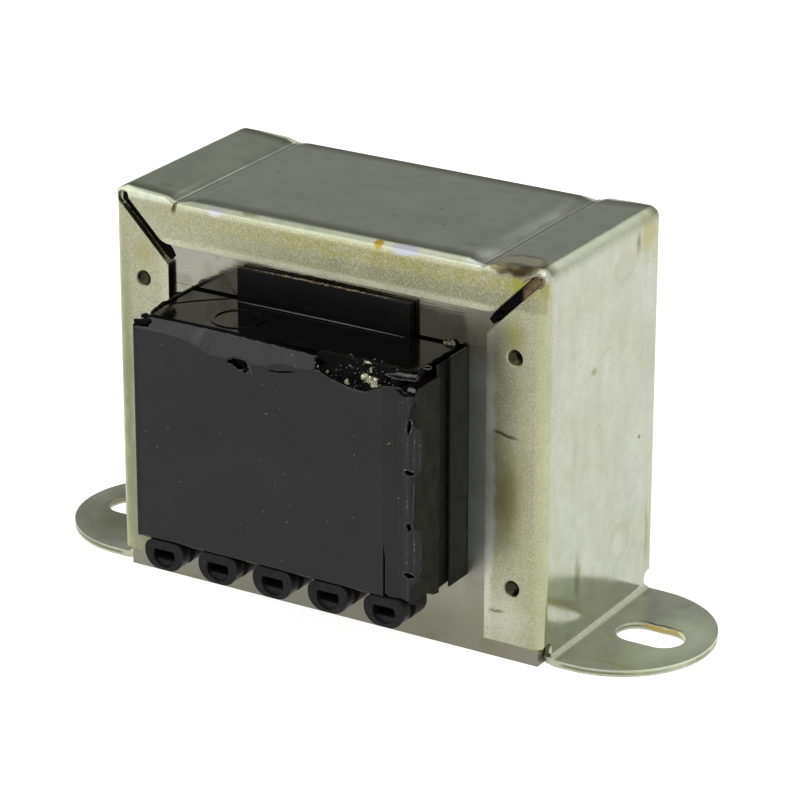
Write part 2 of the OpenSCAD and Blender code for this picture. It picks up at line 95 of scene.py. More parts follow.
def grain(place, size, top=1.0, bottom=0.0, stretch=(1, 1, 1), detail=2.0, low=0.35, high=0.65):
    """Mottling with spots of that size in millimetres, between two values."""
    tree = place.id_data
    along = add(tree, "ShaderNodeMapping", {"Vector": place, "Scale": stretch})
    mottle = add(tree, "ShaderNodeTexNoise", {"Vector": along, "Scale": 1 / (size * mm), "Detail": detail})
    return add(tree, "ShaderNodeMapRange", {
        "Value": mottle, "From Min": low, "From Max": high, "To Min": bottom, "To Max": top})


def mask(tree, *parts, top=1.0):
    """A mask that is full where all its parts are. A part is a mask too, or a value with two millimetre
    marks: it grows from the first and is full at the second."""
    shown = top
    for part in parts:
        if isinstance(part, tuple):
            value, start, end = part
            part = add(tree, "ShaderNodeMapRange", {
                "Value": value, "From Min": start * mm, "From Max": end * mm})
        shown = add(tree, "ShaderNodeMath", {0: part, 1: shown}, operation="MULTIPLY")
    return shown


def coats(tree, under, *layers):
    """The colour that shows where thin coats lie one over the other, each as strong as its mask."""
    shown = colour(under)
    for where, code in layers:
        shown = add(tree, "ShaderNodeMix", {"Factor": where, "A": shown, "B": colour(code)}, data_type="RGBA")
    return shown


def dress(node, material):
    """Gives a CAD node its material."""
    held = nodes[node].data.materials
    held.clear()
    held.append(material)


# Silicon steel, cold rolled and punched: a grey mirror with a warm film, smeared olive by the dip varnish.
silicon_steel, tree, surface, place = finish("punched_silicon_steel", {"Metallic": 1.0})
rolled = grain(place, 0.3, top=0.1, stretch=(0.08, 1, 1))
sheet_place = add(tree, "ShaderNodeSeparateXYZ", {"Vector": place})
sheet_x, sheet_z = sheet_place.outputs["X"], sheet_place.outputs["Z"]
worn_right = mask(tree, (sheet_x, 19, 20), top=0.2)
paint(
    surface, coats(
        tree, "#8F8D83",
        (grain(place, 9), "#86836F"),
        (rolled, "#6C685A"),
        (grain(place, 0.9, top=0.25, detail=1.0, low=0.73, high=0.77), "#5A5238"),
        (grain(place, 4, top=0.5, low=0.55, high=0.7), "#6E6C52"),
        (mask(tree, (sheet_z, 16, 2), top=0.6), "#6F6D60"),
        # Painted reflection: the core face right of the tab is darkened as the blurred reflection of the
        # black winding
        (mask(tree, (sheet_x, 11, 13.5), (sheet_z, 38, 41), top=0.35), "#64635B"),
        (mask(tree, worn_right, (sheet_z, 9, 14), (sheet_z, 41, 36), top=3.5), "#A6ABA4")),
    rough=add(tree, "ShaderNodeMath", {
        0: grain(place, 7, bottom=0.12, top=0.19), 1: worn_right}, operation="ADD"),
    relief=rolled, depth=0.02)
for node in ("core_e_legs_up", "core_i_top", "core_e_legs_down", "core_i_bottom"):
    dress(node, silicon_steel)


# Bobbin
# The bobbin is one moulding in black glass-filled nylon, with two flanges, a tab and ten tag sockets. It is
# pushed on the core's middle leg with its winding. The dip has left the upper flange and the tab glossy.
scene = bpy.context.scene


def copy_of(node):
    """The node's shape, with its triangles joined and its flat faces made whole again."""
    shape = bmesh.new()
    shape.from_mesh(nodes[node].data)
    bmesh.ops.remove_doubles(shape, verts=shape.verts, dist=0.001 * mm)
    flat = math.radians(1)
    bmesh.ops.dissolve_limit(shape, angle_limit=flat, verts=shape.verts, edges=shape.edges)
    return shape


def soften(shape, radius, steps=2, least=35):
    """Rounds every edge where the faces turn by more than the least angle."""
    sharp = [e for e in shape.edges if e.is_manifold and e.calc_face_angle() > math.radians(least)]
    bmesh.ops.bevel(
        shape, geom=sharp, offset=radius * mm, offset_type="OFFSET", affect="EDGES",
        segments=steps, profile=0.5, material=-1, clamp_overlap=True)


def put(shape, name, material):
    """An object with that shape and material."""
    mesh = bpy.data.meshes.new(name)
    shape.to_mesh(mesh)
    shape.free()
    mesh.materials.append(material)
    piece = bpy.data.objects.new(name, mesh)
    scene.collection.objects.link(piece)
    return piece


def seat(shape, name, material, replaced=(), smooth=35, sheet=0.0):
    """Makes the shape a piece of the object in place of some nodes, or a sheet of that thickness."""
    piece = put(shape, name, material)
    piece.data.shade_smooth()
    piece.data.set_sharp_from_angle(angle=math.radians(smooth))
    if sheet:
        thick = piece.modifiers.new("sheet", "SOLIDIFY")
        thick.thickness = sheet * mm
        thick.offset = -1
    weighted = piece.modifiers.new("even_shading", "WEIGHTED_NORMAL")
    weighted.keep_sharp = True
    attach(piece, "root")
    if replaced:
        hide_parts(*replaced)
    return piece


# Black nylon, injection moulded: satin grey-black on the sockets, and wet-looking under the varnish.
nylon, tree, surface, place = finish("moulded_black_nylon", {"IOR": 1.2})
height = add(tree, "ShaderNodeSeparateXYZ", {"Vector": place}).outputs["Z"]
varnished = mask(tree, (height, 11, 12))
tab_only = mask(tree, (height, 40.2, 40.8), top=0.3)
feed(tree, surface, {
    "Base Color": coats(
        tree, "#0D0D0E",
        (grain(place, 0.7, top=0.6, detail=3.0), "#19191A"),
        (grain(place, 1.1, top=0.5, low=0.6, high=0.72), "#26251F"),
        (varnished, "#040404"),
        (grain(place, 1.2, top=0.3, low=0.6, high=0.75), "#121210")),
    "Roughness": add(tree, "ShaderNodeMath", {
        0: add(tree, "ShaderNodeMix", {
            "Factor": varnished,
            "A": grain(place, 0.5, bottom=0.3, top=0.55, detail=3.0),
            "B": grain(place, 4, bottom=0.04, top=0.1)}, data_type="FLOAT"),
        1: tab_only}, operation="ADD"),
    "Normal": add(tree, "ShaderNodeBump", {
        "Height": grain(place, 0.6, detail=3.0, low=0.2, high=0.8), "Distance": 0.03 * mm,
        "Strength": add(tree, "ShaderNodeMapRange", {"Value": varnished, "To Min": 1, "To Max": 0.12})})})
shape = copy_of("bobbin")
soften(shape, 0.15, least=50)
seat(shape, "bobbin_moulding", nylon, ["bobbin"])


# Windings
# The primary lies next to the core under its tape, and the secondary round it, both of enamelled copper wire.
# They are layer wound. Only their outer tape could be seen, past the cover's edges.
# Enamelled copper wire, close wound: a red-brown sheen with a fine rib for every turn.
for name, node, slot, pitch, code in (
        ("fine_enamelled_copper", "primary_winding", "primary_wire", 0.3, "#8A4A22"),
        ("heavy_enamelled_copper", "secondary_winding", "secondary_wire", 0.9, "#9A5526")):
    wire, tree, surface, place = finish(name, {"Metallic": 1.0, "Coat Weight": 0.5})
    turns = add(tree, "ShaderNodeTexWave", {"Vector": place, "Scale": math.pi / (10 * pitch * mm)},
                bands_direction="Z").outputs["Fac"]
    # Painted shade: the grooves between the turns are darkened in step with the relief
    groove = add(tree, "ShaderNodeMapRange", {"Value": turns, "To Min": 0.6, "To Max": 0.0})
    paint(
        surface, coats(tree, code, (groove, "#3C1C0C")),
        rough=grain(place, 2, bottom=0.3, top=0.45), relief=turns, depth=pitch / 4)
    dress(node, wire)

# Polyester film tape, lapped round the coil: dark amber and glossy, with the edges of its laps.
film, tree, surface, place = finish("lapped_polyester_tape", {"IOR": 1.55})
laps = add(tree, "ShaderNodeTexWave", {"Vector": place, "Scale": math.pi / (60 * mm), "Distortion": 0.6},
           bands_direction="Z", wave_profile="SAW").outputs["Fac"]
paint(
    surface, coats(tree, "#17130C", (laps, "#2A2214")),
    rough=grain(place, 3, bottom=0.15, top=0.3), relief=laps, depth=0.03)
dress("interwinding_tape", film)
dress("outer_tape", film)


# Window liners
# A strip of fibre sheet stands between the winding and each outer leg. It is slid in beside the coil.
# Vulcanised fibre sheet, dipped: olive-black, with faint fibres along it and a dull varnish skin.
fibre, tree, surface, place = finish("varnished_fibre_sheet", {"IOR": 1.3})
strands = grain(place, 0.5, stretch=(1, 1, 0.12))
paint(
    surface, coats(tree, "#0C0C09", (strands, "#13130E")),
    rough=grain(place, 2.5, bottom=0.4, top=0.55), relief=strands, depth=0.01)
for node in ("window_liner_left", "window_liner_right"):
    dress(node, fibre)


# Rear cover
# The rear cover is a sheet of black presspaper folded round the coil and over the flange, like the front one.
# It is whole. Its folds are creased by hand, and its skin is the same dip varnish.
# Presspaper under dip varnish: black and wet-looking, with long shallow waves and a little dust.
paper, tree, surface, place = finish("dipped_black_presspaper", {"IOR": 1.33})
waves = grain(place, 14, detail=0.0, low=0.0, high=1.0)
skin = grain(place, 1.2, top=0.04, detail=1.0, low=0.0, high=1.0)
paint(
    surface, coats(
        tree, "#040404",
        (grain(place, 7), "#0A0A0B"),
        (grain(place, 0.42, top=0.25, detail=0.0, low=0.845, high=0.87), "#8C8C88")),
    rough=grain(place, 5, bottom=0.08, top=0.14),
    relief=add(tree, "ShaderNodeMath", {0: waves, 1: skin}, operation="ADD"), depth=0.1)
shape = copy_of("rear_cover")
soften(shape, 0.15, least=30)
seat(shape, "rear_cover_sheet", paper, ["rear_cover"])


# Front cover
# The front cover is two sheets of that presspaper. The wide one wraps the left side, the front and the
# upper edge, where it is torn away at the right. The narrow one lies under it and wraps the right side. It
# was stapled along the corner, and the pulled staples have left ragged holes in a raised seam.
def bent(columns, rows, rule):
    """A grid of cells whose corners a rule places in millimetres, from how far they lie along both ways."""
    shape = bmesh.new()
    bmesh.ops.create_grid(shape, x_segments=columns, y_segments=rows, size=0.5)
    dropped = []
    for vertex in shape.verts:
        spot = rule(vertex.co.x + 0.5, vertex.co.y + 0.5)
        if spot is None:
            dropped.append(vertex)
        else:
            vertex.co = Vector(spot) * mm
    bmesh.ops.delete(shape, geom=dropped, context="VERTS")
    bmesh.ops.remove_doubles(shape, verts=shape.verts, dist=0.004 * mm)
    # Cells that the dropped ones cut off from the rest go too
    left, largest = set(shape.verts), set()
    while left:
        part = {left.pop()}
        edge = list(part)
        while edge:
            near = {e.other_vert(v) for v in edge for e in v.link_edges} & left
            left -= near
            part |= near
            edge = list(near)
        largest = max(largest, part, key=len)
    bmesh.ops.delete(shape, geom=[v for v in shape.verts if v not in largest], context="VERTS")
    return shape


coil_middle = (-0.3, -10, 25)


def face_out(shape, middle=coil_middle):
    """Turns all faces away from a point in the middle."""
    centre = Vector(middle) * mm
    if sum(f.normal.dot(f.calc_center_median() - centre) * f.calc_area() for f in shape.faces) < 0:
        bmesh.ops.reverse_faces(shape, faces=shape.faces)
    return shape


def between(value, marks):
    """Reads a value off a line through the marks."""
    for (a, fa), (b, fb) in zip(marks, marks[1:]):
        if value <= b:
            return fa + (fb - fa) * max(0, value - a) / (b - a)
    return marks[-1][1]


def bell(value, middle, width):
    """A smooth hump of height 1."""
    return math.exp(-((value - middle) / width) ** 2)


def ripple(x, y, z):
    """Smooth unevenness, from about -1 to 1."""
    return noise.noise(Vector((x, y, z)))


front_y, left_x, lower_z, flap_y = -26.4, -20.45, 11, -20.3
left_r, wide_end, tear_x, wide_sheet, edge_curl = 0.45, 15.6, 6.2, 0.3, 0.1
wall_rows, strip_rows, cell = 104, 10, 0.25
flap_run = flap_y - front_y - left_r
arc_run = left_r * math.pi / 2
wide_run = flap_run + arc_run + wide_end - left_x - left_r
fold_line = ((-20.4, 38.7), (-16.2, 38.7), (-13.1, 38.55), (-11, 37.9), (-9.2, 37.25), (-5.5, 37.2),
             (-0.7, 37.2), (1.1, 37.45), (5.6, 38.25), (6.4, 38.4))
torn_line = ((6.4, 38.4), (7.3, 37.95), (8.4, 37.55), (9.7, 37.25), (11.1, 36.95), (13, 36.9),
             (14.9, 37.75), (15.6, 38.15))
strip_end = ((-20.4, -24.9), (-18.3, -24.95), (-14.6, -24.7), (-7.9, -24.6), (-1, -25.1),
             (5.5, -25.6), (6.4, -25.8))
strip_z = 39.9
nick_left, nick_right = ((36.1, -4.5), (36.95, -6.5), (37.6, -5.2)), ((36.1, -4.2), (37.6, -4.7))


def wide_rule(along, up):
    run = between(along, ((0, 0), (0.955, wide_run - 0.45), (1, wide_run)))
    row = up * (wall_rows + strip_rows)
    turn = min(1, max(0, (run - flap_run) / arc_run)) * math.pi / 2
    x = left_x + left_r * (1 - math.cos(turn)) + max(0, run - flap_run - arc_run)
    y = flap_y - min(run, flap_run) - left_r * math.sin(turn)
    crest = between(x, fold_line) if x < 6.4 else between(x, torn_line) + 0.14 * ripple(x * 2.2, 0, 0)
    crest += 0.06 * ripple(x * 1.3, 4, 0)
    bottom = lower_z + 0.08 * ripple(x * 0.4, y * 0.4, 5)
    over = max(0, row - wall_rows) / strip_rows
    dent = 0.07 + 0.09 * ripple(x * 0.07, crest * 0.08, 1) + 0.02 * ripple(x * 0.3, row * 0.08, 2)
    # A crease along the fold
    dent += 0.25 * bell(x, 1.2, 1.6) * bell(row, wall_rows, 1)
    if not over:
        z = bottom + (crest - bottom) * row / wall_rows
        curl = max(0, x - wide_end + edge_curl) / edge_curl
        dent += edge_curl * (1 - math.sqrt(max(0, 1 - curl * curl)))
        # A three-cornered hole torn under the fold, and the flap beside it that was pushed in
        left, right = between(z, nick_left), between(z, nick_right)
        if nick_left[0][0] < z < nick_left[-1][0] and left < x < right:
            if min(x - left, right - x) > cell:
                return None
            x = left if x - left < right - x else right
        if nick_right[0][0] < z < nick_right[-1][0]:
            dent += 0.6 * max(0, 1 - max(0, x - right) / 1.2) * (x > right - 0.05)
        return (x + (dent if turn == 0.0 else 0), y + (dent if turn > 1.5 else 0), z)
    if x > tear_x + 0.5 * ripple(0.3, over * 3, 8):
        return None
    back = between(x, strip_end)
    edge = 0.12 * ripple(x * 0.9, over, 3) * over
    line = front_y + dent * (1 - over) + (back + edge - front_y) * over
    y = line if turn > 1.5 else max(line, y + (y > -25) * 0.2 * over)
    return (max(x, left_x + 1.9 * over), y, crest + (strip_z - crest) * over)


wide = face_out(bent(172, wall_rows + strip_rows, wide_rule))
seat(wide, "front_cover_wide_sheet", paper, ["front_cover"], smooth=50, sheet=wide_sheet)

# The narrow sheet: its cells are a tenth of a millimetre wide along the seam
wall_y, seam_x, corner_r, narrow_start, flap_z = -25.85, 18.85, 1, 13, 38.3
holes = ((33.6, 0.3, 0.95, 0.14), (27.8, 0.6, 0.36, 0), (20.8, 0.36, 0.55, 0.08), (14.5, 0.62, 0.38, 0))
front_run = seam_x - narrow_start
bend_run = corner_r * math.pi / 2
narrow_run = front_run + bend_run + flap_y - corner_r - front_y
cell_marks = ((0, 0), (0.05, 2.4), (0.16, 3), (0.22, front_run - 1.7), (0.8, front_run + 1.9),
              (1, narrow_run))
band_top = ((13, 37.2), (15.6, 38.2), (17.6, 38.35), (18.1, 37.75), (18.85, 38), (19.85, flap_z))
band_foot = ((13, 11.3), (15.9, 11.5), (16.4, 11.05), (17.5, 10.95), (18.7, 10.85), (19.3, 10.6),
             (19.85, 10.75))
side_foot = ((-26.4, 10.75), (-25.4, 11.15), (-24.8, 11.2), (-22.9, 11.1), (-21.8, 10.5), (-20.3, 10.2))
lip_reach = ((10, 0.2), (13, 0.5), (14.2, 1.45), (17.5, 1.6), (20.4, 1.4), (20.9, 0.65), (27.5, 0.75),
             (27.9, 1.5), (30.5, 1.6), (33.5, 1.45), (34, 0.4), (34.9, 0.1), (38.4, 1.2))
seam_fade = ((10.5, 0), (12.5, 0.35), (14, 1), (36, 1), (37.6, 0.3))


def round_corner(s, z):
    """A point of the sheet that far past the seam's line, how far it has turned there, and the way out."""
    turn = min(1, max(0, s / bend_run)) * math.pi / 2
    x = seam_x + min(s, 0) + corner_r * math.sin(turn)
    y = wall_y + (corner_r + front_y - wall_y) * (1 - math.cos(turn)) + max(0, s - bend_run)
    return Vector((x, y, z)), turn, Vector((math.sin(turn), -math.cos(turn), 0))


def narrow_rule(along, up):
    run = between(along, cell_marks)
    s = run - front_run
    (x, y, _), turn, out = round_corner(s, 0)
    top = between(x, band_top)
    foot = between(x, band_foot) if turn < 1.5 else between(y, side_foot)
    z = foot + (top - foot) * up
    # The raised lips of the seam: a thin ridge at the left, and a broad one over the corner with two grooves
    reach = between(z, lip_reach)
    rise = 0.34 + 0.2 * between(s, ((0.6, 0), (1, 1)))
    rise = rise / (1 + math.exp(-(s + 0.1) / 0.05)) / (1 + math.exp((s - reach) / 0.06))
    rise -= (0.13 * bell(s, 0.42, 0.09) + 0.13 * bell(s, 0.95, 0.09)) * (reach > 1)
    rise += 0.14 * bell(s, -1.2, 0.07) * between(z, ((11, 0), (16, 1), (36, 1), (38, 0)))
    rise *= between(z, seam_fade) * (1 + 0.2 * ripple(s, z * 0.35, 7))
    # A sharp fold across the side's upper corner, and a lens-shaped blister beside it
    fold = s - 0.1 - (z - 34.9) * 0.31
    rise += (0.2 * bell(fold, 0, 0.1) - 0.15 * bell(fold, -0.5, 0.25)) * between(z, ((34, 0), (34.9, 1)))
    lens = math.hypot((y + 24.9) / 0.8, (z - 36.9) / 1.6)
    rise += 0.14 * bell(lens, 1, 0.14) * (turn > 0.8)
    for hole_z, half_w, half_h, lean in holes:
        across, above = (s - 0.1 - lean * (z - hole_z)) / half_w, (z - hole_z) / half_h
        far, angle = math.hypot(across, above), math.atan2(above, across)
        if far < 2.2:
            ragged = 1 + 0.16 * ripple(math.cos(angle) * 2, math.sin(angle) * 2, hole_z)
            if far < ragged:
                return None
            rise += 0.2 * bell(far, ragged, 0.25) * (0.8 + 0.5 * ripple(angle * 1.5, hole_z, 1))
    wave = 0.04 * ripple(y * 0.5, z * 0.3, 6) * (turn > 1.5)
    # Below, the sheet stands off from the wide one's cut edge and leaves a dark gap there
    gap = 0.28 * between(z, ((16, 1), (18, 0)))
    wave += 0.47 * between(x, ((15.42 + gap, 0), (15.56 + gap, 1), (17.7, 0)))
    at = Vector((x, y, z)) + out * (rise + wave - 0.04 * (turn > 1.5))
    return (min(at.x, 20.45), max(at.y, front_y), at.z)


def past_seam(spot):
    """How far round the corner a point of the sheet lies, from the seam's line."""
    behind = spot.y / mm - front_y - corner_r
    if behind > 0:
        return bend_run + behind
    return corner_r * math.atan2(max(0, spot.x / mm - seam_x), -behind)


# The same sheet on the side: its varnish soaked in there and dried dull and olive-black.
dull_paper, tree, surface, place = finish("soaked_black_presspaper_with_painted_gap_shade", {"IOR": 1.2})
depth_y = add(tree, "ShaderNodeSeparateXYZ", {"Vector": place}).outputs["Y"]
# Painted shade: where the sheet lies in the gap behind the side flap it is painted nearly black
gap_painted_shade = mask(tree, (depth_y, -20.4, -20.2), (depth_y, -17.7, -18.2))
paint(
    surface, coats(
        tree, "#171712",
        (grain(place, 2.5), "#0F0F0C"),
        (grain(place, 1.1, top=0.5, stretch=(1, 1, 0.3), low=0.6, high=0.75), "#242420"),
        (gap_painted_shade, "#010101")),
    rough=grain(place, 1.8, bottom=0.3, top=0.5), relief=grain(place, 0.9), depth=0.03)
narrow = face_out(bent(76, 260, narrow_rule))
for face in narrow.faces:
    middle = face.calc_center_median()
    face.material_index = int(past_seam(middle) > between(middle.z / mm, lip_reach))
piece = seat(narrow, "front_cover_narrow_sheet", paper, smooth=50, sheet=0.25)
piece.data.materials.append(dull_paper)

# The wrap's second layer stands behind the side flap, up to the core: a dark dull strip of the same sheet.
def inner_rule(along, up):
    y = -20.6 + 6.75 * along
    foot = between(y, ((-20.6, 10.6), (-17.7, 10.75), (-14.8, 10.65), (-13.85, 10.4)))
    return (19.62 + 0.05 * ripple(y * 0.4, up * 6, 2), y, foot + (39.7 - foot) * up)


inner = face_out(bent(26, 80, inner_rule))
seat(inner, "front_cover_inner_sheet", dull_paper, sheet=0.2)


# Dip varnish
# The dip varnish ran thick over the cover's torn and folded edges and set there in black lumps. It fills
# the tear up to the flange, beads along the left edge and blackens the frame's corner slots; there its black
# is partly painted shade.
def bead(path, thick, seed, flat=0.8, sides=12, steps=90, uneven=1.0, top=(0, 0, 1)):
    """A run of varnish along a path: an uneven round bead that thins out at both ends."""
    points = [Vector(p) for p in path]
    lengths = [0.0]
    for a, b in zip(points, points[1:]):
        lengths.append(lengths[-1] + (b - a).length)
    tracks = [list(zip(lengths, track)) for track in zip(*points)]

    def rule(along, about):
        far = along * lengths[-1]
        spot = Vector([between(far, track) for track in tracks])
        ahead = Vector([between(far + 0.3, track) for track in tracks]) - spot
        way = (ahead if ahead.length > 0.05 else points[-1] - points[-2]).normalized()
        side = way.cross(Vector(top)).normalized()
        angle = 2 * math.pi * about
        swell = 0.45 * ripple(far * 0.9, math.cos(angle), seed) + 0.2 * ripple(far * 3, math.sin(angle), seed)
        size = thick * (0.8 + swell * uneven) * max(0, math.sin(math.pi * along)) ** 0.35
        return spot + size * (math.cos(angle) * side + flat * math.sin(angle) * side.cross(way))

    return bent(steps, sides, rule)


def lump(shape, centre, radii, jag, seed, steps=3):
    """Adds an uneven lump: nearly round where the jag is small, and a broken shard where it is large."""
    new = bmesh.ops.create_icosphere(shape, subdivisions=steps, radius=1.0)["verts"]
    for vertex in new:
        push = 1 + jag * ripple(*(vertex.co * 1.3 + Vector((seed, 0, 0)))) * 1.6
        vertex.co = (Vector(centre) + Vector(radii) * vertex.co * push) * mm


def joined(*shapes):
    """Several closed shapes as one."""
    whole = bmesh.new()
    for part in shapes:
        held = bpy.data.meshes.new("part")
        part.to_mesh(held)
        part.free()
        whole.from_mesh(held)
        bpy.data.meshes.remove(held)
    bmesh.ops.recalc_face_normals(whole, faces=whole.faces)
    return whole


# The same where dust settled in it: black without a shine.
dull_varnish, tree, surface, place = finish("dusty_dip_varnish", {"IOR": 1.09})
paint(
    surface, coats(tree, "#010101", (grain(place, 0.8, top=0.7, low=0.5, high=0.7), "#080706")),
    rough=grain(place, 1, bottom=0.12, top=0.35), relief=grain(place, 0.5, detail=3.0), depth=0.04)

# Alkyd dip varnish, set: jet black and wet-looking, so that only its highlights show its lumps.
varnish, tree, surface, place = finish("set_dip_varnish", {"IOR": 1.45})
paint(
    surface, coats(tree, "#020202", (grain(place, 1.4, top=0.4, low=0.5, high=0.7), "#0B0A07")),
    rough=grain(place, 1.5, bottom=0.03, top=0.09), relief=grain(place, 0.6), depth=0.02)
bed_front = ((5.2, 38.3), (6.4, 38.1), (7.3, 37.7), (8.4, 37.3), (9.7, 37), (11.1, 36.7), (13, 36.6),
             (14.9, 37.4), (15.6, 37.8), (17.6, 38), (18.1, 37.4), (19.7, 37.9))


def bed_rule(along, back):
    x = 5.0 + 14.5 * along
    y = between(back, ((0, -26.05), (0.3, -25.5), (0.55, -24.9), (0.8, -24), (1, -23.1)))
    z = between(back, ((0, between(x, bed_front)), (0.3, 38.3), (0.55, 38.9), (0.75, 39.7), (0.85, 39.98),
                       (1, 39.9)))
    depth = math.sin(math.pi * min(1, back * 1.1)) ** 0.5
    z += (0.4 * ripple(x * 0.8, y * 1.1, 2) + 0.22 * ripple(x * 2.2, y * 2.4, 4)) * depth
    y += 0.2 * ripple(x * 1.1, back * 3, 9) * depth
    return (x, y, min(z, 40.1))


bed = face_out(bent(116, 34, bed_rule))
seat(bed, "tear_varnish", dull_varnish, smooth=80, sheet=0.25)
edge_bead = bead(((-20.2, -26.2, 38.3), (-19.9, -25.6, 39.2), (-18.7, -24.5, 39.75), (-19.5, -22.7, 39.85),
                  (-19.7, -20.1, 39.85), (-19.75, -18.5, 39.8), (-19.6, -15.2, 39.8)), 0.36, 3, uneven=1.3)
drops = bmesh.new()
for centre, radii, jag, seed in (
        ((14.9, -25.3, 38.5), (0.75, 0.5, 0.55), 0.3, 1), ((11.6, -25.2, 38.1), (0.8, 0.45, 0.5), 0.35, 2),
        ((9.3, -25.5, 37.8), (0.5, 0.35, 0.4), 0.3, 3), ((6.9, -25.9, 38.3), (0.35, 0.25, 0.3), 0.1, 4),
        ((16.9, -25.5, 38.7), (0.7, 0.4, 0.45), 0.3, 5), ((19, -25.7, 37.9), (0.55, 0.4, 0.45), 0.2, 6),
        ((-20, -25.9, 38.75), (0.5, 0.35, 0.3), 0.3, 7), ((-18.6, -25.4, 39.45), (0.5, 0.4, 0.3), 0.3, 8),
        ((17.9, -24.2, 39.9), (0.8, 0.6, 0.25), 0.3, 10), ((-19.9, -24.2, 39.55), (0.4, 0.7, 0.22), 0.2, 13),
        ((-19.4, -25.6, 39.2), (1.1, 0.6, 0.42), 0.35, 14), ((-20.1, -16.6, 39.8), (0.5, 0.9, 0.3), 0.3, 15)):
    lump(drops, centre, radii, jag, seed)
right_bead = bead(((18.7, -24.2, 39.75), (18.6, -21, 39.8), (18.6, -17.5, 39.8), (18.7, -14.3, 39.85)),
                  0.28, 6)
lump(drops, (-5, -25.55, 36.8), (1.9, 0.2, 1.2), 0.1, 17)
# Painted shadow: a dull black bead under the fold stands in for the shadow line there
under_fold_painted_shadow = bead(((-1.3, -26.25, 36.85), (0.8, -26.27, 37), (2.6, -26.27, 37.35), (4.6, -26.25, 37.8)),
                  0.2, 8, flat=0.5, uneven=0.5, top=(0, -1, 0))
seat(joined(edge_bead, drops, right_bead, under_fold_painted_shadow), "edge_varnish_and_painted_shadow", dull_varnish, smooth=60)

# Small glossy drops that splashed over the tear and stand on its dull bed
splashes = bmesh.new()
for number in range(60):
    x = 12.5 + 7.0 * ripple(number * 3.7, 0.5, 11)
    lie = 0.5 + 0.9 * ripple(number * 2.9, 4.5, 12)
    y = between(lie, ((0, -26), (0.3, -25.6), (0.6, -24.9), (1, -23.4)))
    z = between(lie, ((0, between(x, bed_front) + 0.3), (0.3, 38.5), (0.6, 39.2), (1, 40)))
    size = 0.09 + 0.1 * abs(ripple(number * 5.3, 2.5, 13))
    lump(splashes, (x, y, z), (size * 1.4, size, size), 0.4, number, steps=2)
seat(joined(splashes), "varnish_splashes", varnish, smooth=60)

# A meniscus along the tab's foot, a thread of varnish on the flange, and a line along the folded strip's end
foot_line = bead(((-12.5, -15.05, 39.95), (-6, -15, 39.97), (3, -15, 39.97), (11.9, -15.05, 39.95)),
                 0.26, 21, steps=140, uneven=0.4)
thread = bead([(x, y, 39.9) for x, y in (
    (-19.15, -20.24), (-17.43, -17.94), (-15.09, -15.67), (-13.29, -14.15))], 0.08, 22, uneven=0.5)
strip_lines = [bead([(x, y + step, strip_z + 0.02) for x, y in strip_end], size, seed, steps=70, uneven=0.3)
               for step, size, seed in ((0.05, 0.14, 23), (0.5, 0.06, 24))]
seat(joined(foot_line), "tab_meniscus", varnish, smooth=60)
seat(joined(thread, *strip_lines), "varnish_lines", dull_varnish, smooth=60)

# Presspaper torn and rubbed bare: grey fibre, light in places, under thin varnish. On the seam's rims and
# ridges the same light grey is a painted highlight.
bare_paper_and_highlight_grey, tree, surface, place = finish("bare_presspaper_fibre_and_painted_highlight", {"IOR": 1.4})
paint(
    surface, coats(
        tree, "#26282A",
        (grain(place, 0.9), "#0C0D0D"),
        (grain(place, 0.5, low=0.6, high=0.68), "#505256")),
    rough=grain(place, 0.8, bottom=0.15, top=0.4),
    relief=grain(place, 0.5, stretch=(0.3, 1, 1)), depth=0.04)

# The rims of the seam's holes, where the sheet stood up round them, in light grey as painted highlights
rims = []
for number, (hole_z, half_w, half_h, lean) in enumerate(holes):
    path = []
    for step in range(37):
        angle = 2 * math.pi * step / 36 - 2.0
        across, above = half_w * 1.15 * math.cos(angle), half_h * 1.12 * math.sin(angle)
        on_sheet, _, out = round_corner(0.1 + across + lean * above, hole_z + above)
        path.append(on_sheet + out * (0.3 + 0.1 * between(across, ((0.2, 0), (0.6, 1)))))
    rims.append(bead(path, 0.13, 30 + number, flat=0.9, sides=8, steps=72, top=(0.3, -1, 0)))

# The ridges of the seam's lips as thin beads, in light grey as painted highlight lines
ridge_rise = ((-0.1, 0.24), (0.3, 0.34), (0.7, 0.4), (1.2, 0.5), (1.6, 0.42))
for low_z, high_z, spots in (
        (28.3, 33.4, ((-0.1, -0.1), (0.72, 0.72), (1.2, 1.15), (1.6, 1.5))),
        (21.3, 27.4, ((-0.1, -0.1), (0.5, 0.68))),
        (14.9, 20.5, ((-0.1, -0.1), (0.72, 0.72), (1.2, 1.15), (1.6, 1.45)))):
    for number, (low_s, high_s) in enumerate(spots):
        path = []
        for step in range(13):
            part = step / 12
            s = low_s + (high_s - low_s) * part + 0.12 * math.sin(math.pi * part) * (number == 3)
            on_sheet, _, out = round_corner(s, low_z + (high_z - low_z) * part)
            path.append(on_sheet + out * between(s, ridge_rise))
        rims.append(bead(path, 0.08, 60 + number, sides=8, steps=40, uneven=0.8, top=(0, -1, 0)))
seat(joined(*rims), "seam_ridges_painted_highlight", bare_paper_and_highlight_grey, smooth=70)

# The torn edge of the wide sheet, swollen and rounded by the varnish
torn_edge = bead([(x, -26.28, z + 0.02) for x, z in torn_line], 0.1, 40,
                 steps=120, uneven=0.5, top=(0, -1, 0.3))
seat(joined(torn_edge), "torn_edge", paper, smooth=70)


